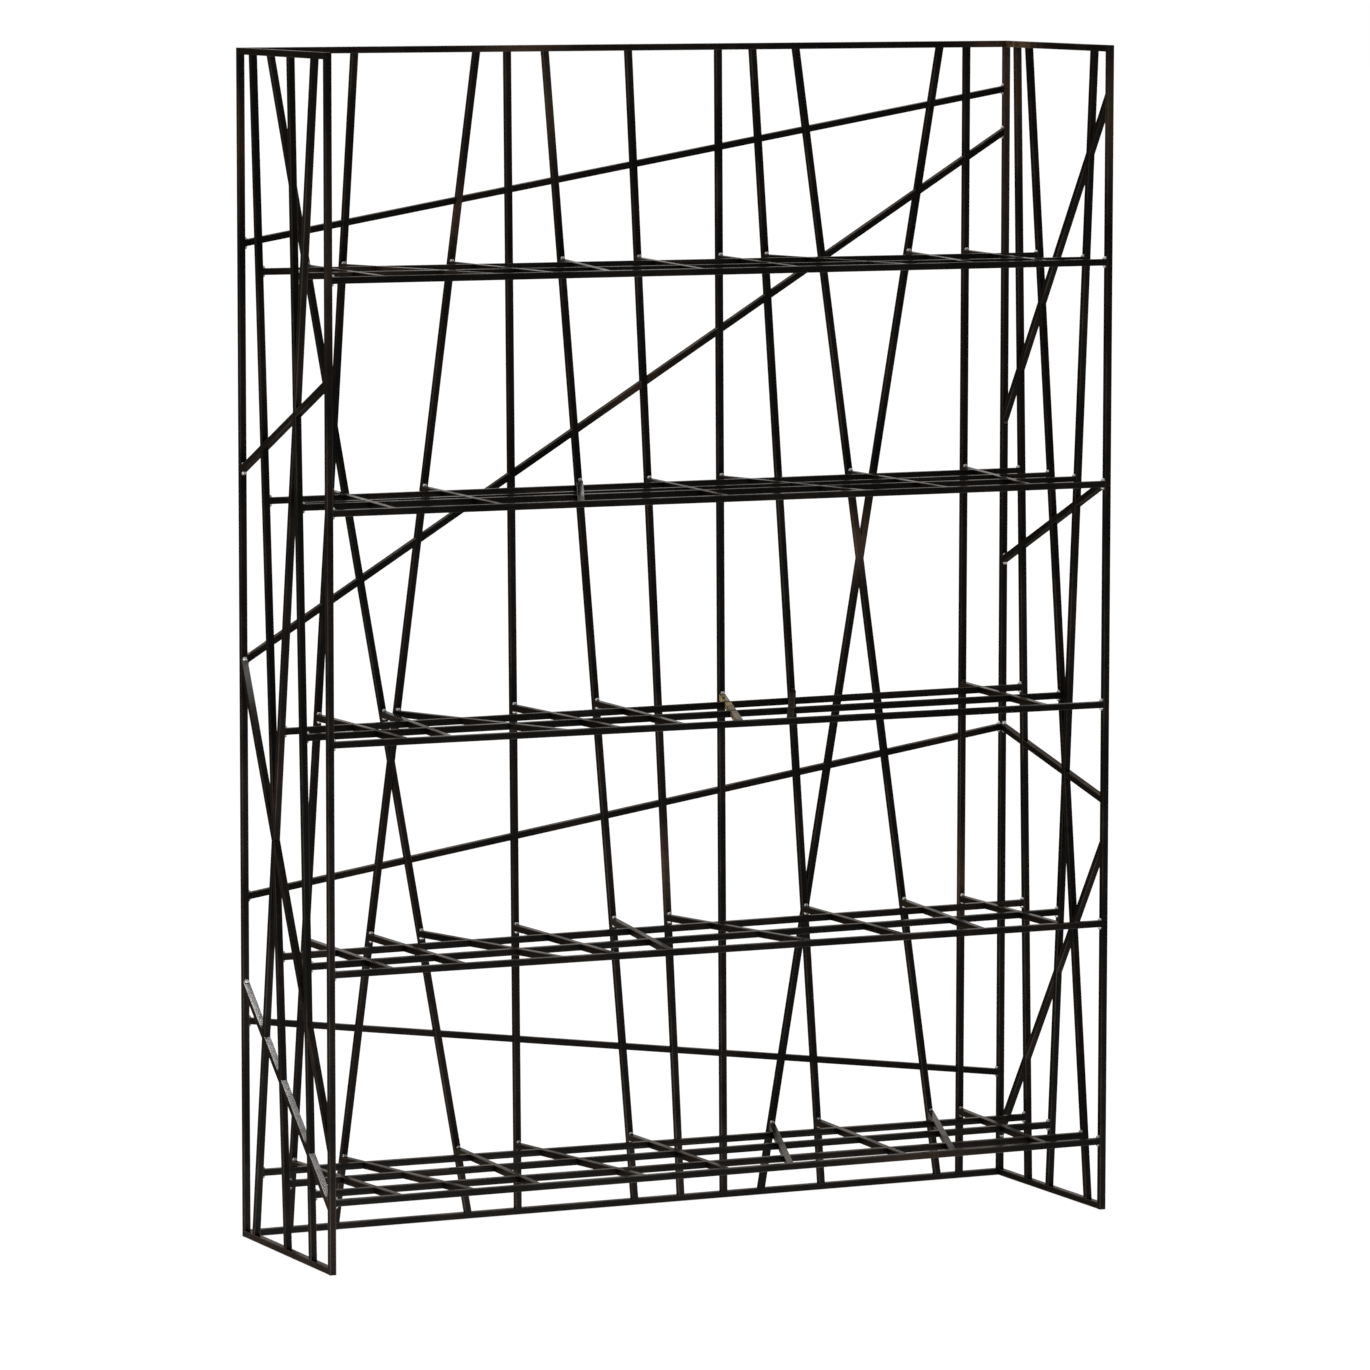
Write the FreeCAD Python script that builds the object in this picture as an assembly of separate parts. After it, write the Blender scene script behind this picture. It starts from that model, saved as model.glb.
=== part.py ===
"""Open bookshelf welded from square steel bar: leaning uprights, zigzag braces and five grid shelves.

Millimetres, +Z up, +X to the right, the front towards -Y. The origin is on the floor, under the middle.
"""
import FreeCAD
import Part
import math
import os

from FreeCAD import Vector

# The frame
width = 1300.0
depth = 350.0
height = 1800.0
bar = 10.0

# The shelves: floor to the top of the lowest one, and top of the highest one to the top of the frame
lowest_shelf_height = 112.0
top_bay_height = 326.0

# The weld beads: the leg on each bar, and how far a bead stops short of the bar's edges
weld_leg = 3.5
weld_inset = 1.5

# How far a cutting shape stands proud of the bar that it cuts
cut_overrun = 2.0

# Uprights as shares of a panel's clear length, at the top rail and at the bottom rail.
# The back panel counts from its left post, an end panel from its back post.
back_rod_shares = {
    1: (0.034, 0.282),
    2: (0.140, 0.051),
    3: (0.296, 0.110),
    4: (0.336, 0.348),
    5: (0.385, 0.503),
    6: (0.494, 0.565),
    7: (0.613, 0.623),
    8: (0.659, 0.756),
    9: (0.717, 0.916),
    10: (0.912, 0.674),
    11: (0.949, 0.947),
}
left_rod_shares = {
    "rear": (0.138, 0.490),
    "front": (0.587, 0.789),
    "crossing": (0.868, 0.106),
}
right_rod_shares = {
    "rear": (0.099, 0.280),
    "raking": (0.217, 0.880),
    "crossing": (0.866, 0.496),
}

# Uprights that are cut where they cross others, which run through
back_rods_cut = {1: (2, 3), 10: (8, 9)}
left_rods_cut = {"crossing": ("rear", "front")}
right_rods_cut = {"crossing": ("raking",)}

# Braces as shares of the height, at the start and at the end of the panel's clear length
back_brace_shares = (
    (0.838, 0.958),
    (0.490, 0.921),
    (0.290, 0.399),
    (0.184, 0.092),
)
left_brace_shares = (
    (0.650, 0.732),
    (0.484, 0.108),
    (0.214, 0.057),
)
right_brace_shares = (
    (0.673, 0.954),
    (0.547, 0.628),
    (0.399, 0.356),
    (0.040, 0.315),
)

# Inner rails of each shelf, from the top shelf down, as pairs of a left upright and a right upright
shelf_rails = (
    (("rear", "raking"), ("front", "crossing")),
    (("rear", "rear"), ("crossing", "raking"), ("front", "crossing")),
    (("crossing", "rear"), ("front", "raking")),
    (("rear", "rear"), ("front", "crossing")),
    (("crossing", "rear"), ("rear", "crossing"), ("front", "raking")),
)

# Cross bars of each shelf: the back upright that carries one, and its place on the front rail
# as a share of the rail's length
cross_bar_shares = (
    {1: 0.066, 2: 0.204, 3: 0.275, 5: 0.348, 6: 0.468, 7: 0.590, 8: 0.733, 10: 0.821, 11: 0.920},
    {2: 0.077, 3: 0.211, 5: 0.314, 6: 0.500, 7: 0.679, 9: 0.789, 11: 0.900},
    {1: 0.146, 2: 0.091, 3: 0.293, 4: 0.361, 5: 0.443, 7: 0.519, 8: 0.584, 11: 0.924},
    {1: 0.287, 2: 0.072, 3: 0.163, 4: 0.355, 5: 0.428, 6: 0.610, 8: 0.733, 9: 0.841, 11: 0.948},
    {1: 0.257, 2: 0.082, 3: 0.173, 4: 0.393, 5: 0.502, 8: 0.737, 9: 0.803, 10: 0.586, 11: 0.927},
)

# Worked out from the sizes above
clear_width = width - 2 * bar
clear_depth = depth - 2 * bar
left_face = -width / 2 + bar
right_face = width / 2 - bar
back_face = depth / 2 - bar
front_face = -depth / 2 + bar
shelf_count = len(shelf_rails)
shelf_pitch = (height - top_bay_height - lowest_shelf_height) / (shelf_count - 1)
bead_length = bar - 2 * weld_inset

X = Vector(1, 0, 0)
Y = Vector(0, 1, 0)
Z = Vector(0, 0, 1)


class Panel:
    """A flat panel one bar thick: a corner on the floor, the way along it and the way through it."""

    def __init__(self, corner, along, through, clear):
        self.corner = corner
        self.along = along
        self.through = through
        self.clear = clear

    def point(self, distance, level):
        return self.corner + self.along * distance + Z * level


back_panel = Panel(Vector(left_face, back_face, 0), X, Y, clear_width)
left_panel = Panel(Vector(-width / 2, back_face, 0), -Y, X, clear_depth)
right_panel = Panel(Vector(right_face, back_face, 0), -Y, X, clear_depth)


def prism(points, through, proud=0):
    """Closed outline made a solid along the unit vector through, one bar thick and proud on both sides."""
    start = [point - through * proud for point in points]
    face = Part.Face(Part.makePolygon(start + start[:1]))
    return face.extrude(through * (bar + 2 * proud))


def box(low, high):
    """Straight square-ended bar between two opposite corners."""
    size = high - low
    return Part.makeBox(size.x, size.y, size.z, low)


def fitted(solid, cutters):
    """What is left of a bar between the bars that run through it, as separate lengths."""
    return Part.makeCompound(solid.cut(cutters).Solids)


def save(shape, node):
    shape.exportStep(f"parts/{node}.step")


# Uprights and braces of a panel
def rod_place(panel, shares, level):
    """Distance of an upright's axis along its panel at a level."""
    top_share, bottom_share = shares
    risen_share = (level - bar) / (height - 2 * bar)
    return panel.clear * (bottom_share + (top_share - bottom_share) * risen_share)


def rod(panel, shares, proud=0):
    """Leaning upright, its ends cut level on the bottom rail and under the top rail."""
    bottom_level = bar
    top_level = height - bar
    bottom = rod_place(panel, shares, bottom_level)
    top = rod_place(panel, shares, top_level)
    lean = math.atan2(top - bottom, top_level - bottom_level)
    half = bar / 2 / math.cos(lean)
    outline = [
        panel.point(bottom - half, bottom_level),
        panel.point(bottom + half, bottom_level),
        panel.point(top + half, top_level),
        panel.point(top - half, top_level),
    ]
    return prism(outline, panel.through, proud)


def brace_slope(panel, shares):
    """Angle of a brace from the level, and half of its thickness measured plumb."""
    start_share, end_share = shares
    slope = math.atan2(height * (end_share - start_share), panel.clear)
    return slope, bar / 2 / math.cos(slope)


def brace(panel, shares):
    """Slanting brace, its ends cut plumb on the inner faces of the posts."""
    start = height * shares[0]
    end = height * shares[1]
    half = brace_slope(panel, shares)[1]
    outline = [
        panel.point(0, start - half),
        panel.point(panel.clear, end - half),
        panel.point(panel.clear, end + half),
        panel.point(0, start + half),
    ]
    return prism(outline, panel.through)


def bead(corner, first, second, sweep):
    """Fillet in the corner between two bars: unit vectors along both faces, and along the seam."""
    start = corner - sweep * (bead_length / 2)
    points = [start, start + first * weld_leg, start + second * weld_leg, start]
    return Part.Face(Part.makePolygon(points)).extrude(sweep * bead_length)


def brace_beads(panel, shares):
    """Beads above and below a brace, at both of its ends."""
    slope, half = brace_slope(panel, shares)
    run = panel.along * math.cos(slope) + Z * math.sin(slope)
    middle = panel.through * (bar / 2)
    beads = []
    for side in (1, -1):
        for distance, share, inward in ((0, shares[0], run), (panel.clear, shares[1], -run)):
            corner = panel.point(distance, height * share + side * half) + middle
            beads.append(bead(corner, inward, Z * side, panel.through))
    return beads


def build_panel(name, panel, rod_shares, rods_cut, brace_shares):
    """Uprights, braces and beads of one panel."""
    cutters = {mark: rod(panel, shares, cut_overrun) for mark, shares in rod_shares.items()}
    for mark, shares in rod_shares.items():
        upright = rod(panel, shares)
        if mark in rods_cut:
            upright = fitted(upright, [cutters[other] for other in rods_cut[mark]])
        save(upright, f"{name}_upright_{mark}")
    beads = []
    for number, shares in enumerate(brace_shares, 1):
        save(fitted(brace(panel, shares), list(cutters.values())), f"{name}_brace_{number}")
        beads.extend(brace_beads(panel, shares))
    save(Part.makeCompound(beads), f"{name}_panel_welds")


# Posts and rails of the frame
def build_posts():
    """Four corner posts, from the floor to the top of the frame."""
    for side, low_x in (("left", -width / 2), ("right", right_face)):
        for end, low_y in (("back", back_face), ("front", -depth / 2)):
            low = Vector(low_x, low_y, 0)
            save(box(low, low + Vector(bar, bar, height)), f"{side}_{end}_post")


def build_frame_rails():
    """Rails between the posts, at the floor and at the top: back, left and right, with an open front."""
    for level, low_z in (("bottom", 0), ("top", height - bar)):
        back_low = Vector(left_face, back_face, low_z)
        save(box(back_low, back_low + Vector(clear_width, bar, bar)), f"back_{level}_rail")
        for side, low_x in (("left", -width / 2), ("right", right_face)):
            low = Vector(low_x, front_face, low_z)
            save(box(low, low + Vector(bar, clear_depth, bar)), f"{side}_{level}_rail")


# Shelves
def rail(left_y, right_y, underside, proud=0):
    """Shelf rail between the end panels, its ends cut square to them."""
    half = bar / 2 / math.cos(math.atan2(right_y - left_y, clear_width))
    outline = [
        Vector(left_face, left_y - half, underside),
        Vector(right_face, right_y - half, underside),
        Vector(right_face, right_y + half, underside),
        Vector(left_face, left_y + half, underside),
    ]
    return prism(outline, Z, proud)


def cross_bar(back_x, front_x, underside):
    """Skewed bar from a back upright to the front rail."""
    half = bar / 2 / math.cos(math.atan2(front_x - back_x, clear_depth))
    outline = [
        Vector(back_x - half, back_face, underside),
        Vector(front_x - half, front_face, underside),
        Vector(front_x + half, front_face, underside),
        Vector(back_x + half, back_face, underside),
    ]
    return prism(outline, Z)


def rail_beads(left_y, right_y, underside):
    """Beads above and below a rail, at both of its ends."""
    beads = []
    for x, y, inward in ((left_face, left_y, X), (right_face, right_y, -X)):
        beads.append(bead(Vector(x, y, underside + bar), inward, Z, Y))
        beads.append(bead(Vector(x, y, underside), inward, -Z, Y))
    return beads


def build_shelf(number, underside):
    """Front rail, inner rails and cross bars of one shelf, all flush. Returns its beads."""
    middle = underside + bar / 2
    front_y = -depth / 2 + bar / 2
    save(rail(front_y, front_y, underside), f"shelf_{number}_front_rail")
    beads = rail_beads(front_y, front_y, underside)

    inner_rails = []
    cutters = []
    for left_mark, right_mark in shelf_rails[number - 1]:
        left_y = back_face - rod_place(left_panel, left_rod_shares[left_mark], middle)
        right_y = back_face - rod_place(right_panel, right_rod_shares[right_mark], middle)
        inner_rails.append(rail(left_y, right_y, underside))
        cutters.append(rail(left_y, right_y, underside, cut_overrun))
        beads.extend(rail_beads(left_y, right_y, underside))
    save(Part.makeCompound(inner_rails), f"shelf_{number}_inner_rails")

    lengths = []
    for back_mark, front_share in cross_bar_shares[number - 1].items():
        back_x = left_face + rod_place(back_panel, back_rod_shares[back_mark], middle)
        front_x = left_face + clear_width * front_share
        lengths.extend(fitted(cross_bar(back_x, front_x, underside), cutters).Solids)
        beads.append(bead(Vector(back_x, back_face, underside + bar), -Y, Z, X))
        beads.append(bead(Vector(back_x, back_face, underside), -Y, -Z, X))
    save(Part.makeCompound(lengths), f"shelf_{number}_cross_bars")
    return beads


def build_shelves():
    """Five level shelves at an even pitch, from the top one down."""
    beads = []
    for number in range(1, shelf_count + 1):
        top = lowest_shelf_height + shelf_pitch * (shelf_count - number)
        beads.extend(build_shelf(number, top - bar))
    save(Part.makeCompound(beads), "shelf_welds")


os.makedirs("parts", exist_ok=True)
build_posts()
build_frame_rails()
build_panel("back", back_panel, back_rod_shares, back_rods_cut, back_brace_shares)
build_panel("left", left_panel, left_rod_shares, left_rods_cut, left_brace_shares)
build_panel("right", right_panel, right_rod_shares, right_rods_cut, right_brace_shares)
build_shelves()
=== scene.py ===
import bmesh
import bpy
import math
import random
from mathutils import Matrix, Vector
from mathutils.kdtree import KDTree


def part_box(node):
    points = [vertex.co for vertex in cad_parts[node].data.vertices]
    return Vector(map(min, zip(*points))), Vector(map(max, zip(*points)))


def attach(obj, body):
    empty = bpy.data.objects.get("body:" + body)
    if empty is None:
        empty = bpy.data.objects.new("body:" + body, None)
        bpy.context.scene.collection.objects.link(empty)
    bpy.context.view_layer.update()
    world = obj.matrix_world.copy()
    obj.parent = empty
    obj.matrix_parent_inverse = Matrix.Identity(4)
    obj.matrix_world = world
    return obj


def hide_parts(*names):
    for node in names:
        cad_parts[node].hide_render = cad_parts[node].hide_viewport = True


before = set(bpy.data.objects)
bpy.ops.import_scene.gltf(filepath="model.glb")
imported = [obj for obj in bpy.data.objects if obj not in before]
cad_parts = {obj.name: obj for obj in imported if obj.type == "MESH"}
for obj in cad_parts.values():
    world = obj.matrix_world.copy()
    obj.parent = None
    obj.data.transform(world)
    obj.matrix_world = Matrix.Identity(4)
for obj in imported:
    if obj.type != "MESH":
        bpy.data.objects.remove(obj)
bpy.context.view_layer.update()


# Posts and frame rails. Square steel bar, drawn through a die that leaves its arrises slightly round, and
# sawn to length: four posts stand full height, and six rails are butted between them and welded. After
# welding the whole piece is blackened and waxed, so joints show brown and arrises are rubbed thin; the
# finish also paints a sheen on the tops and a highlight along the arrises.
post_low, post_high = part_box("left_back_post")
bar = post_high.x - post_low.x
arris_radius = 0.06 * bar
arris_steps = 2
ring_spacing = 1.5 * bar
same_point = bar / 1000
same_plane = math.radians(1)
crisp_edge = math.radians(60)
joint_heat = (0.25, 1.0)
heat_reach = 2.4 * bar
heat_limit = 2.5 * heat_reach
pattern_shift = 100


class Length:
    """One cut length of bar: the ways across, through and along it, its middle, its run and its ends."""

    def __init__(self, corners):
        edges = [edge for corner in corners for edge in corner.link_edges]
        longest = max(edges, key=lambda edge: edge.calc_length())
        self.along = (longest.verts[1].co - longest.verts[0].co).normalized()
        across = max(longest.link_faces, key=lambda face: face.calc_area()).normal.copy()
        self.ways = (across, self.along.cross(across), self.along)
        spans = [[corner.co.dot(way) for corner in corners] for way in self.ways]
        self.middle = Vector(((min(span) + max(span)) / 2 for span in spans))
        self.run = max(spans[2]) - min(spans[2])
        self.ends = []
        for side in (-1, 1):
            sawn = [corner.co for corner in corners if side * self.place(corner.co).z > 0]
            self.ends.append(sum(sawn, Vector()) / len(sawn))

    def place(self, point):
        """A point's distances across, through and along the bar, from its middle."""
        return Vector((point.dot(way) for way in self.ways)) - self.middle

    def runs_along(self, edge):
        """Whether an edge is parallel to the bar."""
        way = edge.verts[1].co - edge.verts[0].co
        return way.cross(self.along).length < same_plane * way.length


def merged(node_name):
    """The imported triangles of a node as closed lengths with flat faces."""
    steel = bmesh.new()
    steel.from_mesh(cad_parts[node_name].data)
    bmesh.ops.remove_doubles(steel, verts=steel.verts, dist=same_point)
    bmesh.ops.dissolve_limit(steel, angle_limit=same_plane, verts=steel.verts, edges=steel.edges)
    steel.normal_update()
    return steel


def solids(steel):
    """The corners of each separate solid in a bmesh, always in the same order."""
    seen = set()
    for corner in steel.verts:
        if corner not in seen:
            joined = [corner]
            seen.add(corner)
            for known in joined:
                neighbours = [edge.other_vert(known) for edge in known.link_edges]
                fresh = [neighbour for neighbour in neighbours if neighbour not in seen]
                seen.update(fresh)
                joined.extend(fresh)
            yield joined


# Each sawn end is a joint. The torch left every joint with a heat of its own.
chance = random.Random(17)
joint_heats = []
for node_name in sorted(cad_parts):
    if not node_name.endswith("_welds"):
        steel = merged(node_name)
        for corners in solids(steel):
            joint_heats.extend((end, chance.uniform(*joint_heat)) for end in Length(corners).ends)
        steel.free()
joint_places = KDTree(len(joint_heats))
for number, (place, heat) in enumerate(joint_heats):
    joint_places.insert(place, number)
joint_places.balance()


def heat_at(point):
    """How strongly the nearest joints tint the steel at a point, from 0 to 1."""
    tint = 0.0
    for place, number, distance in joint_places.find_range(point, heat_limit):
        tint = max(tint, joint_heats[number][1] * math.exp(-(distance / heat_reach) ** 2))
    return tint


def add_node(tree, kind, sockets=None, **settings):
    """Adds a node with its settings, and links or fills its sockets."""
    made = tree.nodes.new(kind)
    for name, value in settings.items():
        setattr(made, name, value)
    for key, value in (sockets or {}).items():
        if isinstance(value, bpy.types.NodeSocket):
            tree.links.new(value, made.inputs[key])
        else:
            made.inputs[key].default_value = value
    return made


def add_noise(tree, vector, scale, detail, roughness=0.55):
    sockets = {"Vector": vector, "Scale": scale, "Detail": detail, "Roughness": roughness}
    return add_node(tree, "ShaderNodeTexNoise", sockets).outputs["Fac"]


def add_math(tree, operation, first, second=0.0, third=0.0, clamp=False):
    sockets = {0: first, 1: second, 2: third}
    return add_node(tree, "ShaderNodeMath", sockets, operation=operation, use_clamp=clamp).outputs[0]


def add_range(tree, value, low, high, low_result=0.0, high_result=1.0):
    """A value eased from one range to another and held at its ends."""
    sockets = {0: value, 1: low, 2: high, 3: low_result, 4: high_result}
    return add_node(tree, "ShaderNodeMapRange", sockets, interpolation_type="SMOOTHSTEP").outputs[0]


def add_tint(tree, share, under, over):
    """One colour laid over another by a share."""
    sockets = {0: share, 6: under, 7: over}
    return add_node(tree, "ShaderNodeMix", sockets, data_type="RGBA").outputs[2]


def add_ramp(tree, value, stops):
    """A colour for a value, from two or more stops in rising order."""
    ramp = add_node(tree, "ShaderNodeValToRGB", {0: value})
    colours = ramp.color_ramp.elements
    for place, colour in stops[2:]:
        colours.new(place)
    for element, (place, colour) in zip(colours, stops):
        element.position = place
        element.color = (*colour, 1)
    return ramp.outputs["Color"]


def add_attribute(tree, name, output):
    return add_node(tree, "ShaderNodeAttribute", attribute_name=name).outputs[output]


def make_blackened_steel():
    """Blackened, waxed bar: blotched patina, drawing marks, heat tints, and rubbed tops and arrises with a
    painted sheen.
    """
    blue_black = (0.0064, 0.0061, 0.0062)
    brown_black = (0.0106, 0.0091, 0.0084)
    brown = (0.0194, 0.0147, 0.0121)
    patina = ((0.36, blue_black), (0.50, brown_black), (0.64, brown))
    red_black = (0.0152, 0.0108, 0.0091, 1)
    green_black = (0.0075, 0.0078, 0.0071, 1)
    warm_brown = (0.1150, 0.0700, 0.0460, 1)
    rubbed_sheen_brown = (0.0880, 0.0750, 0.0630, 1)
    worn_steel_and_sheen = (0.1900, 0.1700, 0.1500, 1)
    brass = (0.6400, 0.4900, 0.2000, 1)
    bare_steel_and_sheen = (0.4600, 0.4500, 0.4400, 1)
    wax_tint = (0.5000, 0.4800, 0.4600, 1)
    blotch_scale = 6.5
    mottle_scale = 75
    tooth_scale = 1500
    drawing_scale = 1100
    drawing_stretch = (1, 1, 0.015)
    blotch_share = 0.65
    mottle_share = 0.35
    lot_share = 0.7
    heat_share = 0.14
    arris_band = (0.32 * bar, 0.47 * bar)
    arris_wear_and_sheen = (0.03, 0.22)
    waxed_roughness = (0.38, 0.52)
    relief_strength = 0.3
    relief_depth = 0.008 * bar

    steel = bpy.data.materials.new("blackened_steel")
    steel.use_nodes = True
    tree = steel.node_tree
    shader = tree.nodes["Principled BSDF"]
    point = add_node(tree, "ShaderNodeTexCoord").outputs["Object"]
    place = add_attribute(tree, "bar_place", "Vector")
    heat = add_attribute(tree, "heat", "Fac")
    lot = add_attribute(tree, "lot", "Fac")
    marks = add_node(tree, "ShaderNodeSeparateColor", {0: add_attribute(tree, "marks", "Color")})
    warm_mark, brassy_mark, bright_mark = marks.outputs
    dulled = add_attribute(tree, "marks", "Alpha")

    blotches = add_noise(tree, point, blotch_scale, 6, 0.6)
    mottle = add_noise(tree, point, mottle_scale, 5, 0.6)
    tooth = add_noise(tree, point, tooth_scale, 2)
    drawn = add_node(tree, "ShaderNodeVectorMath", {0: place, 1: drawing_stretch}, operation="MULTIPLY")
    drawing_marks = add_noise(tree, drawn.outputs[0], drawing_scale, 3)

    blotched = add_math(tree, "MULTIPLY", blotches, blotch_share)
    tone = add_math(tree, "MULTIPLY_ADD", mottle, mottle_share, blotched)
    colour = add_ramp(tree, tone, patina)
    colour = add_tint(tree, add_range(tree, lot, 0.45, 1.0, 0.0, lot_share), colour, red_black)
    colour = add_tint(tree, add_range(tree, lot, 0.40, 0.0, 0.0, lot_share), colour, green_black)
    warm = add_math(tree, "MULTIPLY", warm_mark, add_range(tree, mottle, 0.2, 0.6, 0.4))
    colour = add_tint(tree, warm, colour, warm_brown)
    heat_ring = add_math(tree, "MULTIPLY", heat, add_range(tree, mottle, 0.25, 0.7, 0.55))
    colour = add_tint(tree, add_range(tree, heat_ring, 0.1, 1.0, 0.0, heat_share), colour, warm_brown)

    # Painted sheen: upward faces are tinted lighter, standing in for the light the tops catch as well as
    # their rubbing
    normal = add_node(tree, "ShaderNodeNewGeometry").outputs["Normal"]
    rise = add_node(tree, "ShaderNodeSeparateXYZ", {0: normal}).outputs["Z"]
    upward = add_range(tree, rise, 0.15, 0.75)
    rubbed_and_sheen = add_math(tree, "MULTIPLY", upward, add_range(tree, tone, 0.38, 0.62, 0.45))
    rubbed_and_sheen = add_math(tree, "MULTIPLY", rubbed_and_sheen, add_math(tree, "SUBTRACT", 1.0, dulled))
    colour = add_tint(tree, rubbed_and_sheen, colour, rubbed_sheen_brown)
    # Painted highlight: the rubbed band along each arris also stands in for the light line that arrises catch
    across = add_node(tree, "ShaderNodeSeparateXYZ", {0: place})
    from_sides = [add_math(tree, "ABSOLUTE", across.outputs[way]) for way in (0, 1)]
    arris = add_range(tree, add_math(tree, "MINIMUM", *from_sides), *arris_band)
    worn_and_sheen = add_math(tree, "MULTIPLY", arris, add_range(tree, blotches, 0.40, 0.65, *arris_wear_and_sheen))
    colour = add_tint(tree, worn_and_sheen, colour, worn_steel_and_sheen)
    brassy = add_math(tree, "MULTIPLY", brassy_mark, add_range(tree, mottle, 0.42, 0.60, 0.30))
    colour = add_tint(tree, brassy, colour, brass)
    # Painted reflection: bright marks are bare steel lightened only on upward faces, where the tops catch the
    # light
    bright = add_math(tree, "MULTIPLY", bright_mark, upward)
    bright = add_math(tree, "MULTIPLY", bright, add_range(tree, tone, 0.36, 0.60, 0.70))
    colour = add_tint(tree, bright, colour, bare_steel_and_sheen)
    tree.links.new(colour, shader.inputs["Base Color"])

    roughness = add_range(tree, mottle, 0.32, 0.66, *waxed_roughness)
    roughness_changes = (
        (drawing_marks, 0.10),
        (heat, 0.10),
        (rubbed_and_sheen, -0.36),
        (brassy, 0.20),
        (dulled, 0.25),
        (worn_and_sheen, -0.14),
    )
    for cause, change in roughness_changes:
        roughness = add_math(tree, "MULTIPLY_ADD", cause, change, roughness)
    roughness = add_math(tree, "ADD", roughness, clamp=True)
    tree.links.new(roughness, shader.inputs["Roughness"])

    relief = add_math(tree, "MULTIPLY_ADD", tooth, 0.5, drawing_marks)
    relief = add_math(tree, "MULTIPLY_ADD", mottle, 0.6, relief)
    sockets = {"Strength": relief_strength, "Distance": relief_depth, "Height": relief}
    bump = add_node(tree, "ShaderNodeBump", sockets)
    tree.links.new(bump.outputs["Normal"], shader.inputs["Normal"])
    chalky = add_math(tree, "MULTIPLY", bright, dulled)
    tree.links.new(add_math(tree, "SUBTRACT", 1.0, chalky), shader.inputs["Metallic"])
    shader.inputs["Specular Tint"].default_value = wax_tint
    return steel


blackened_steel = make_blackened_steel()

# Where the finish stands out: shares of a node's box in the ways that count, a reach and a strength.
# Warm is brown from heat, brassy is rubbed to a yellow, dull is unwaxed, and bright is bare steel
# shown only on top faces, partly as a painted reflection.
warm_places = {
    "back_top_rail": [({"x": 0.35}, 0.07, 0.5), ({"x": 1.00}, 0.05, 0.9)],
    "right_top_rail": [({"y": 0.93}, 0.07, 1.2)],
    "left_front_post": [({"z": 0.82}, 0.12, 0.2)],
    "left_back_post": [({"z": 0.92}, 0.06, 0.2)],
    "right_back_post": [({"z": 0.97}, 0.10, 0.4), ({"z": 0.88}, 0.10, 0.25)],
    "right_front_post": [({"z": 0.94}, 0.08, 0.35)],
    "right_upright_rear": [({"z": 0.96}, 0.10, 0.3)],
    "back_upright_3": [({"z": 0.86}, 0.05, 0.5)],
    "back_upright_5": [({"z": 0.95}, 0.07, 0.4)],
    "back_upright_6": [({"z": 0.29}, 0.06, 0.5)],
    "back_upright_9": [({"z": 0.565}, 0.05, 0.5)],
    "back_upright_10": [({"z": 0.565}, 0.05, 0.5)],
    "back_upright_11": [({"z": 0.26}, 0.06, 0.5)],
    "back_brace_2": [({"x": 0.50}, 0.05, 0.35)],
    "shelf_1_inner_rails": [({"x": 0.08}, 0.06, 0.3)],
    "shelf_1_cross_bars": [({"x": 0.10}, 0.08, 0.3)],
    "shelf_5_front_rail": [({"x": 0.76}, 0.10, 0.2)],
}
brassy_places = {
    "right_top_rail": [({"y": 0.93}, 0.05, 0.1)],
    "shelf_3_cross_bars": [
        ({"x": 0.60, "y": 0.88}, 0.055, 1.0),
        ({"x": 0.57, "y": 0.62}, 0.045, 0.7),
        ({"x": 0.545, "y": 0.40}, 0.045, 0.6),
        ({"x": 0.52, "y": 0.18}, 0.045, 0.5),
    ],
}
bright_places = {
    "left_brace_2": [({"z": 0.97}, 0.05, 1.0)],
    "left_brace_3": [({"z": 0.50}, 0.40, 1.0)],
    "shelf_3_front_rail": [({"x": 0.95}, 0.06, 0.35)],
}
dull_places = {
    "left_brace_2": [({"z": 0.97}, 0.05, 1.0)],
    "shelf_3_front_rail": [({"x": 0.75}, 0.35, 0.8)],
    "shelf_3_inner_rails": [({"x": 0.75}, 0.35, 0.8)],
    "shelf_3_cross_bars": [
        ({"x": 0.72, "y": 0.95}, 0.06, 1.5),
        ({"x": 0.69, "y": 0.72}, 0.06, 1.5),
        ({"x": 0.65, "y": 0.50}, 0.06, 1.5),
        ({"x": 0.62, "y": 0.28}, 0.06, 1.5),
        ({"x": 0.58, "y": 0.05}, 0.05, 1.5),
    ],
}
mark_channels = (warm_places, brassy_places, bright_places, dull_places)


def spots_on(node_name, places):
    """The spots on a node: their middles, by way, their reaches and their strengths."""
    low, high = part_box(node_name)
    spots = []
    for shares, *size in places.get(node_name, ()):
        ways = {"xyz".index(way): share for way, share in shares.items()}
        middle = {way: low[way] + (high[way] - low[way]) * share for way, share in ways.items()}
        spots.append((middle, *size))
    return spots


def strength_at(point, spots):
    """How strongly the nearest of the spots shows at a point, from 0 to 1."""
    strengths = [0.0]
    for middle, reach, strength in spots:
        apart = math.hypot(*(point[way] - place for way, place in middle.items()))
        strengths.append(strength * math.exp(-(apart / reach) ** 2))
    return min(max(strengths), 1.0)


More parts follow.
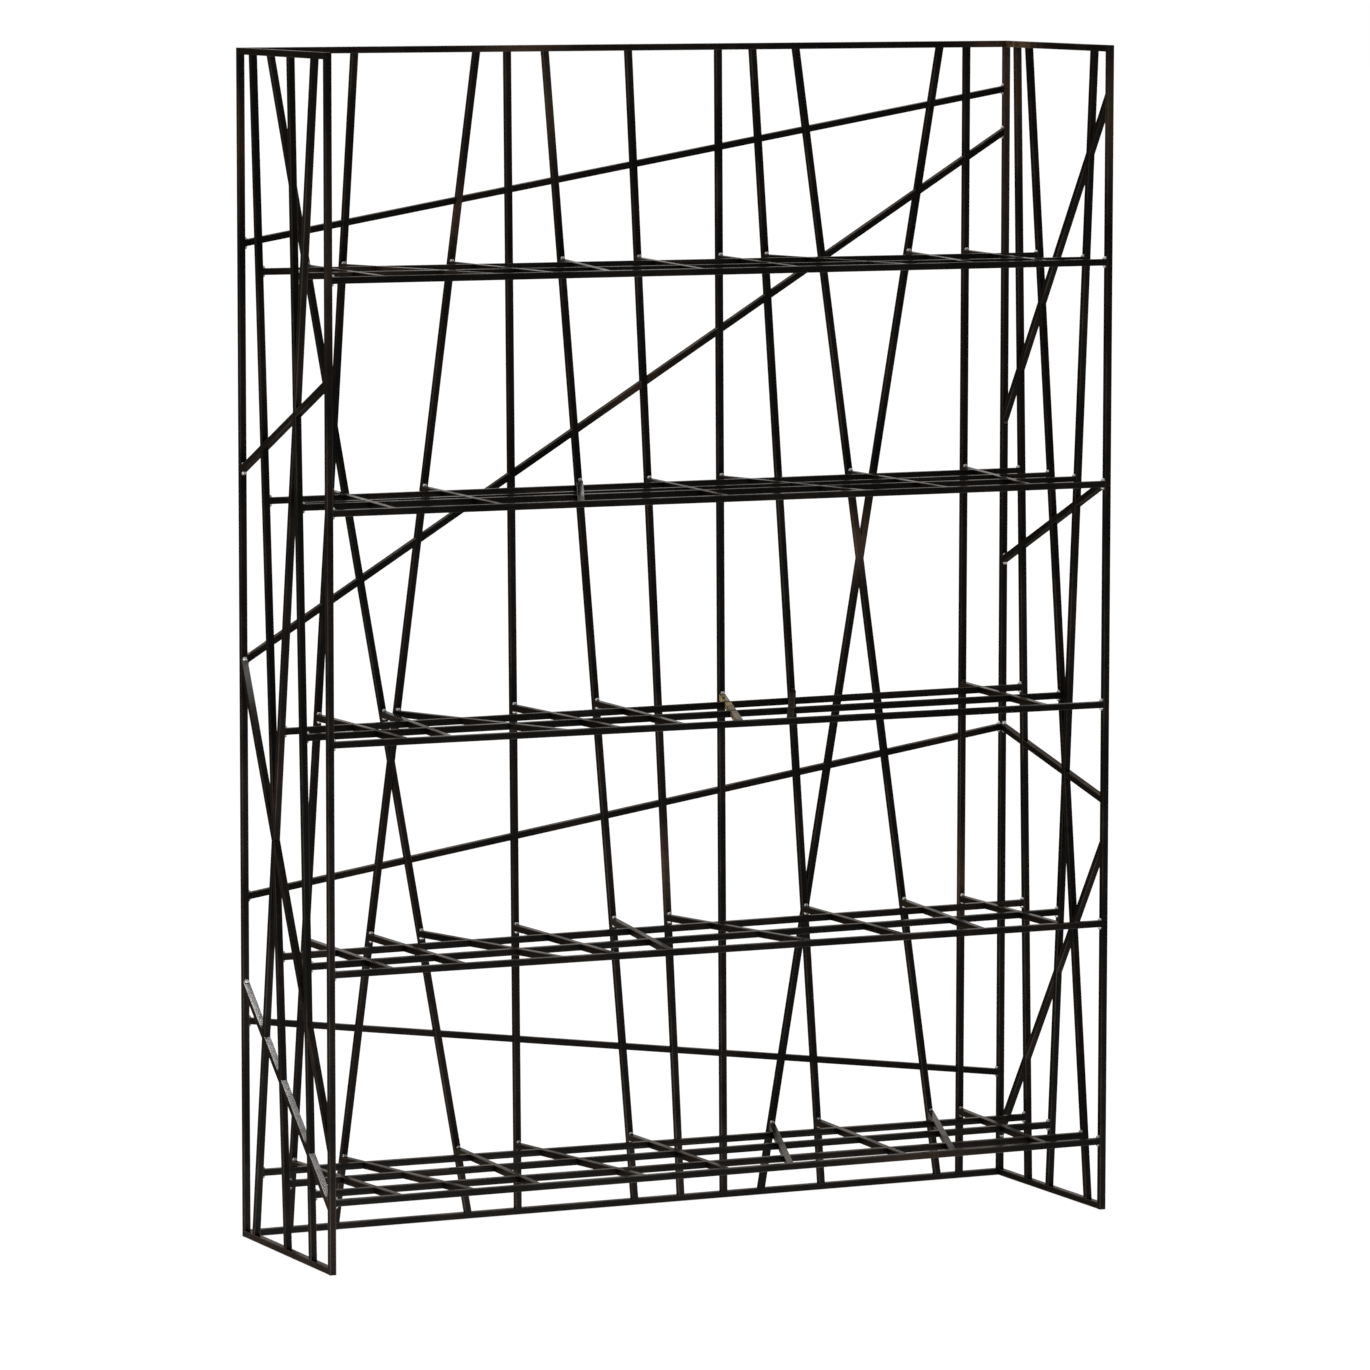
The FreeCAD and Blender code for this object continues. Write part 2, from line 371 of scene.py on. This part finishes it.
def dress(node_name, lot_low, lot_high):
    """Finishes a node's lengths: arrises eased, rings along them, and the values that the finish reads."""
    steel = merged(node_name)
    length_at = {}
    for corners in solids(steel):
        length_at.update(dict.fromkeys(corners, Length(corners)))
    arrises = [edge for edge in steel.edges if length_at[edge.verts[0]].runs_along(edge)]
    bmesh.ops.bevel(
        steel, geom=arrises, offset=arris_radius, offset_type="OFFSET", segments=arris_steps, profile=0.5,
        affect="EDGES", clamp_overlap=True,
    )
    layers = steel.verts.layers
    numbers = layers.float.new("length_number")
    places = layers.float_vector.new("bar_place")
    heats = layers.float.new("heat")
    lots = layers.float.new("lot")
    marks = layers.float_color.new("marks")
    steel.normal_update()
    lengths = []
    for corners in solids(steel):
        for corner in corners:
            corner[numbers] = len(lengths)
        lengths.append(Length(corners))
    for number, length in enumerate(lengths):
        rings = round(length.run / ring_spacing)
        own = [edge for edge in steel.edges if round(edge.verts[0][numbers]) == number]
        bmesh.ops.subdivide_edges(
            steel, edges=[edge for edge in own if length.runs_along(edge)], cuts=rings, use_grid_fill=True,
        )
    shifts = [Vector((0, 0, chance.uniform(0, pattern_shift))) for length in lengths]
    stock = [chance.uniform(lot_low, lot_high) for length in lengths]
    spots = [spots_on(node_name, channel) for channel in mark_channels]
    for corner in steel.verts:
        number = round(corner[numbers])
        corner[places] = lengths[number].place(corner.co) + shifts[number]
        corner[heats] = heat_at(corner.co)
        corner[lots] = stock[number]
        corner[marks] = [strength_at(corner.co, channel) for channel in spots]
    layers.float.remove(numbers)

    mesh = bpy.data.meshes.new(f"{node_name}.dressed")
    steel.to_mesh(mesh)
    steel.free()
    mesh.materials.append(blackened_steel)
    mesh.shade_smooth()
    mesh.set_sharp_from_angle(angle=crisp_edge)
    piece = bpy.data.objects.new(mesh.name, mesh)
    bpy.context.scene.collection.objects.link(piece)
    flats = piece.modifiers.new("flat_faces", "WEIGHTED_NORMAL")
    flats.keep_sharp = True
    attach(piece, "root")
    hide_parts(node_name)


# The lots of stock that the frame's bar came from, from greenish at 0 to reddish at 1
frame_lots = (0.0, 0.75)
for side in ("left", "right"):
    for end in ("back", "front"):
        dress(f"{side}_{end}_post", *frame_lots)
for panel in ("back", "left", "right"):
    for level in ("bottom", "top"):
        dress(f"{panel}_{level}_rail", *frame_lots)


# Leaning uprights. The same bar, sawn at the lean, eleven in the back panel and three in each end panel.
# Most run through from the bottom rail to the top rail; where two cross, one is cut and welded in place.
for node_name in sorted(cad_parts):
    if "_upright_" in node_name:
        dress(node_name, *frame_lots)


# Slanting braces. The same bar in short lengths, mitred between the uprights so that a brace reads as one
# straight line across its panel, flush on both faces.
for node_name in sorted(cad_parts):
    if "_brace_" in node_name:
        dress(node_name, *frame_lots)


# Shelf rails and cross bars. Each shelf is a level grid of the same bar: a front rail and two or three inner
# rails run from end panel to end panel, and skewed cross bars are let in between them from the back uprights.
rail_lots = (0.0, 0.55)
cross_bar_lots = (0.45, 0.95)
for node_name in sorted(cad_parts):
    if node_name.startswith("shelf_") and node_name.endswith("_cross_bars"):
        dress(node_name, *cross_bar_lots)
    elif node_name.startswith("shelf_") and not node_name.endswith("_welds"):
        dress(node_name, *rail_lots)


# Weld beads. Short fillets of filler wire at the rail ends, the back ends of the cross bars and the ends of
# the braces, laid by hand above and below each bar. Most took the blackening badly and stay silvery.
bead_radius = 0.36 * bar
bead_rings = 8
bead_sides = 8
bead_ripples = 2
ripple_depth = 0.16
smallest_bead = 0.85
largest_bead = 1.12
bead_seed = 4
end_bluntness = 4.0
end_size = 0.02
seam_share = 0.42

# The beads that went black with the bars: shares of a node's box, a reach and a strength
black_bead_places = {
    "right_panel_welds": [({"y": 1.00, "z": 0.69}, 0.03, 1.0)],
    "shelf_welds": [({"x": 0.71, "z": 0.50}, 0.03, 1.0), ({"x": 0.95, "z": 0.50}, 0.03, 1.0)],
}


def make_weld_metal():
    """Filler metal: bright on the crests of the ripples and sooty between them, lighter on top with painted
    shade underneath.
    """
    black = (0.012, 0.010, 0.009)
    sooty = (0.09, 0.075, 0.065)
    grey = (0.52, 0.50, 0.47)
    bright = (0.90, 0.88, 0.86)
    shades = ((0.10, black), (0.30, sooty), (0.44, grey), (0.60, bright))
    soot_scale = 260
    grain_scale = 2600
    grain_strength = 0.25
    grain_depth = 0.01 * bar
    crest_lightness = 0.25

    weld = bpy.data.materials.new("weld_metal")
    weld.use_nodes = True
    tree = weld.node_tree
    shader = tree.nodes["Principled BSDF"]
    point = add_node(tree, "ShaderNodeTexCoord").outputs["Object"]
    normal = add_node(tree, "ShaderNodeNewGeometry").outputs["Normal"]
    rise = add_node(tree, "ShaderNodeSeparateXYZ", {0: normal}).outputs["Z"]
    height = add_node(tree, "ShaderNodeSeparateXYZ", {0: point}).outputs["Z"]
    crest = add_attribute(tree, "crest", "Fac")
    blackened = add_attribute(tree, "blackened", "Fac")
    soot = add_noise(tree, point, soot_scale, 4)
    grain = add_noise(tree, point, grain_scale, 2)

    lightness = add_math(tree, "MULTIPLY_ADD", crest, crest_lightness, soot)
    # Painted shade: downward faces are darkened as if shadowed, and the beads are darker towards the floor
    darkenings = (
        add_range(tree, rise, -0.6, 0.2, 0.5),
        add_range(tree, height, 0.15, 0.50, 0.7),
        add_range(tree, blackened, 0.0, 1.0, 1.0, 0.15),
    )
    for darkening in darkenings:
        lightness = add_math(tree, "MULTIPLY", lightness, darkening)
    tree.links.new(add_ramp(tree, lightness, shades), shader.inputs["Base Color"])
    roughness = add_math(tree, "MULTIPLY_ADD", lightness, -0.25, 0.52)
    tree.links.new(roughness, shader.inputs["Roughness"])
    sockets = {"Strength": grain_strength, "Distance": grain_depth, "Height": grain}
    bump = add_node(tree, "ShaderNodeBump", sockets)
    tree.links.new(bump.outputs["Normal"], shader.inputs["Normal"])
    shader.inputs["Metallic"].default_value = 0.35
    return weld


def make_bead_tree():
    """Sweeps a round along each seam line, rippled and drawn in at both ends."""
    tree = bpy.data.node_groups.new("weld_beads", "GeometryNodeTree")
    interface = tree.interface
    interface.new_socket("Seams", in_out="INPUT", socket_type="NodeSocketGeometry")
    sizes = {"Radius": "Float", "Ripples": "Int", "Ripple depth": "Float", "Metal": "Material"}
    for name, kind in sizes.items():
        interface.new_socket(name, in_out="INPUT", socket_type=f"NodeSocket{kind}")
    interface.new_socket("Beads", in_out="OUTPUT", socket_type="NodeSocketGeometry")
    given = tree.nodes.new("NodeGroupInput").outputs

    lines = add_node(tree, "GeometryNodeMeshToCurve", {"Mesh": given["Seams"]})
    rounds = add_node(tree, "GeometryNodeResampleCurve", {"Curve": lines.outputs[0], "Count": bead_rings})
    run = add_node(tree, "GeometryNodeSplineParameter").outputs["Factor"]
    turns = add_math(tree, "MULTIPLY", run, given["Ripples"])
    wave = add_math(tree, "COSINE", add_math(tree, "MULTIPLY", turns, 2 * math.pi))
    crest = add_math(tree, "MULTIPLY_ADD", wave, -0.5, 0.5)
    crested = add_node(
        tree, "GeometryNodeStoreNamedAttribute",
        {"Geometry": rounds.outputs[0], "Name": "crest", "Value": crest}, data_type="FLOAT", domain="POINT",
    )
    outward = add_math(tree, "ABSOLUTE", add_math(tree, "MULTIPLY_ADD", run, 2.0, -1.0))
    drawn_in = add_math(tree, "SUBTRACT", 1.0, add_math(tree, "POWER", outward, end_bluntness))
    ends = add_math(tree, "SQRT", add_math(tree, "MAXIMUM", drawn_in, end_size))
    sunk = add_math(tree, "MULTIPLY", add_math(tree, "SUBTRACT", crest, 1.0), given["Ripple depth"])
    drawn_sizes = {2: smallest_bead, 3: largest_bead, "Seed": bead_seed}
    hand = add_node(tree, "FunctionNodeRandomValue", drawn_sizes, data_type="FLOAT")
    each_bead = add_node(
        tree, "GeometryNodeFieldOnDomain", {0: hand.outputs[1]}, domain="CURVE", data_type="FLOAT",
    )
    size = add_math(tree, "MULTIPLY", add_math(tree, "ADD", sunk, 1.0), ends)
    size = add_math(tree, "MULTIPLY", size, each_bead.outputs[0])
    profile = add_node(
        tree, "GeometryNodeCurvePrimitiveCircle", {"Resolution": bead_sides, "Radius": given["Radius"]},
    )
    swept = add_node(
        tree, "GeometryNodeCurveToMesh",
        {"Curve": crested.outputs[0], "Profile Curve": profile.outputs[0], "Scale": size, "Fill Caps": True},
    )
    smooth = add_node(tree, "GeometryNodeSetShadeSmooth", {"Geometry": swept.outputs[0]})
    real = add_node(tree, "GeometryNodeRealizeInstances", {"Geometry": smooth.outputs[0]})
    metal = add_node(
        tree, "GeometryNodeSetMaterial", {"Geometry": real.outputs[0], "Material": given["Metal"]},
    )
    beads = tree.nodes.new("NodeGroupOutput")
    tree.links.new(metal.outputs[0], beads.inputs["Beads"])
    return tree


weld_metal = make_weld_metal()
bead_tree = make_bead_tree()


def seam_line(corners):
    """The line that a bead's round follows: its fillet's two ends, drawn in from the open side."""
    faces = dict.fromkeys(face for corner in corners for face in corner.link_faces)
    line = []
    for triangle in (face for face in faces if len(face.verts) == 3):
        widest = max(triangle.edges, key=lambda edge: edge.calc_length())
        root = next(corner.co for corner in triangle.verts if corner not in widest.verts)
        open_side = (widest.verts[0].co + widest.verts[1].co) / 2
        line.append(root.lerp(open_side, seam_share))
    return line


def lay_beads(node_name):
    """Lays a bead along each fillet of a node, and notes which beads went black."""
    fillets = merged(node_name)
    seams = bmesh.new()
    blackened = seams.verts.layers.float.new("blackened")
    spots = spots_on(node_name, black_bead_places)
    for corners in solids(fillets):
        ends = [seams.verts.new(point) for point in seam_line(corners)]
        seams.edges.new(ends)
        for end in ends:
            end[blackened] = strength_at(end.co, spots)
    fillets.free()
    lines = bpy.data.meshes.new(f"{node_name}.seams")
    seams.to_mesh(lines)
    seams.free()

    piece = bpy.data.objects.new(f"{node_name}.laid", lines)
    bpy.context.scene.collection.objects.link(piece)
    laying = piece.modifiers.new("beads", "NODES")
    laying.node_group = bead_tree
    values = {
        "Radius": bead_radius,
        "Ripples": bead_ripples,
        "Ripple depth": ripple_depth,
        "Metal": weld_metal,
    }
    for socket in bead_tree.interface.items_tree:
        if socket.in_out == "INPUT" and socket.name in values:
            laying[socket.identifier] = values[socket.name]
    shown = piece.evaluated_get(bpy.context.evaluated_depsgraph_get())
    beads = bpy.data.meshes.new_from_object(shown)
    piece.modifiers.clear()
    piece.data = beads
    bpy.data.meshes.remove(lines)
    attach(piece, "root")
    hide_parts(node_name)


for node_name in sorted(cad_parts):
    if node_name.endswith("_welds"):
        lay_beads(node_name)


# Studio. A white floor that runs out of the picture, an even white surround and a wide soft light overhead,
# with the camera where the picture was taken from, in front and to the left, a little above the middle.
floor_reach = 60.0
floor_gap = 0.0002
floor_tones = ((0.3, (0.105, 0.105, 0.104)), (0.7, (0.115, 0.115, 0.114)))
floor_white = 0.94
floor_glow = 2.3
floor_far_glow = 0.88
floor_glow_place = Vector((-0.8, -0.5, 0.0))
floor_glow_core = 0.3
floor_glow_reach = 2.4
surround_front = 0.20
surround_back = 0.75
overhead_place = Vector((0.0, 1.5, 6.0))
overhead_strength = 1.7
overhead_spread = math.radians(50)
camera_place = Vector((-4.7198, -10.0557, 2.0482))
camera_turn = math.radians(25.183)
camera_dip = math.radians(6.256)
camera_roll = math.radians(-0.070)
camera_lens = 192.757
camera_reach = 500
sensor_width = 36.0


def make_floor():
    """White to the camera, and for the steel brightest round the shelf's foot."""
    white = bpy.data.materials.new("white_floor")
    white.use_nodes = True
    tree = white.node_tree
    shader = tree.nodes["Principled BSDF"]
    point = add_node(tree, "ShaderNodeTexCoord").outputs["Object"]
    colour = add_ramp(tree, add_noise(tree, point, 0.6, 3), floor_tones)
    tree.links.new(colour, shader.inputs["Base Color"])
    away = add_node(tree, "ShaderNodeVectorMath", {0: point, 1: floor_glow_place}, operation="DISTANCE")
    apart = away.outputs["Value"]
    glow = add_range(tree, apart, floor_glow_core, floor_glow_reach, floor_glow, floor_far_glow)
    camera_ray = add_node(tree, "ShaderNodeLightPath").outputs["Is Camera Ray"]
    either = {0: camera_ray, 2: glow, 3: floor_white}
    seen = add_node(tree, "ShaderNodeMix", either, data_type="FLOAT").outputs[0]
    tree.links.new(seen, shader.inputs["Emission Strength"])
    shader.inputs["Roughness"].default_value = 0.9
    shader.inputs["Specular IOR Level"].default_value = 0.0
    shader.inputs["Emission Color"].default_value = (1, 1, 1, 1)
    mesh = bpy.data.meshes.new("floor")
    square = ((-1, -1), (1, -1), (1, 1), (-1, 1))
    corners = [(x * floor_reach, y * floor_reach, -floor_gap) for x, y in square]
    mesh.from_pydata(corners, [], [(0, 1, 2, 3)])
    mesh.materials.append(white)
    floor = bpy.data.objects.new("floor", mesh)
    bpy.context.scene.collection.objects.link(floor)


def make_surround():
    """White to the camera, and for the steel a surround that is bright behind and dim in front."""
    world = bpy.data.worlds.new("surround")
    bpy.context.scene.world = world
    world.use_nodes = True
    tree = world.node_tree
    tree.nodes.clear()
    way = add_node(tree, "ShaderNodeTexCoord").outputs["Generated"]
    depth = add_node(tree, "ShaderNodeSeparateXYZ", {0: way}).outputs["Y"]
    level = add_range(tree, depth, -0.5, 0.6, surround_front, surround_back)
    lit = add_node(tree, "ShaderNodeBackground", {"Color": (1, 1, 1, 1), "Strength": level})
    seen = add_node(tree, "ShaderNodeBackground", {"Color": (1, 1, 1, 1), "Strength": 1.0})
    camera_ray = add_node(tree, "ShaderNodeLightPath").outputs["Is Camera Ray"]
    both = add_node(tree, "ShaderNodeMixShader", {0: camera_ray, 1: lit.outputs[0], 2: seen.outputs[0]})
    add_node(tree, "ShaderNodeOutputWorld", {"Surface": both.outputs[0]})


make_floor()
make_surround()
overhead = bpy.data.lights.new("overhead", "SUN")
overhead.energy = overhead_strength
overhead.angle = overhead_spread
light = bpy.data.objects.new("overhead", overhead)
light.location = overhead_place
light.rotation_euler = (-overhead_place).to_track_quat("-Z", "Y").to_euler()
bpy.context.scene.collection.objects.link(light)
lens = bpy.data.cameras.new("camera")
lens.lens = camera_lens
lens.sensor_width = sensor_width
lens.clip_end = camera_reach
camera = bpy.data.objects.new("camera", lens)
camera.location = camera_place
camera.rotation_euler = (math.pi / 2 - camera_dip, camera_roll, -camera_turn)
bpy.context.scene.collection.objects.link(camera)
bpy.context.scene.camera = camera
bpy.context.scene.view_settings.view_transform = "Standard"
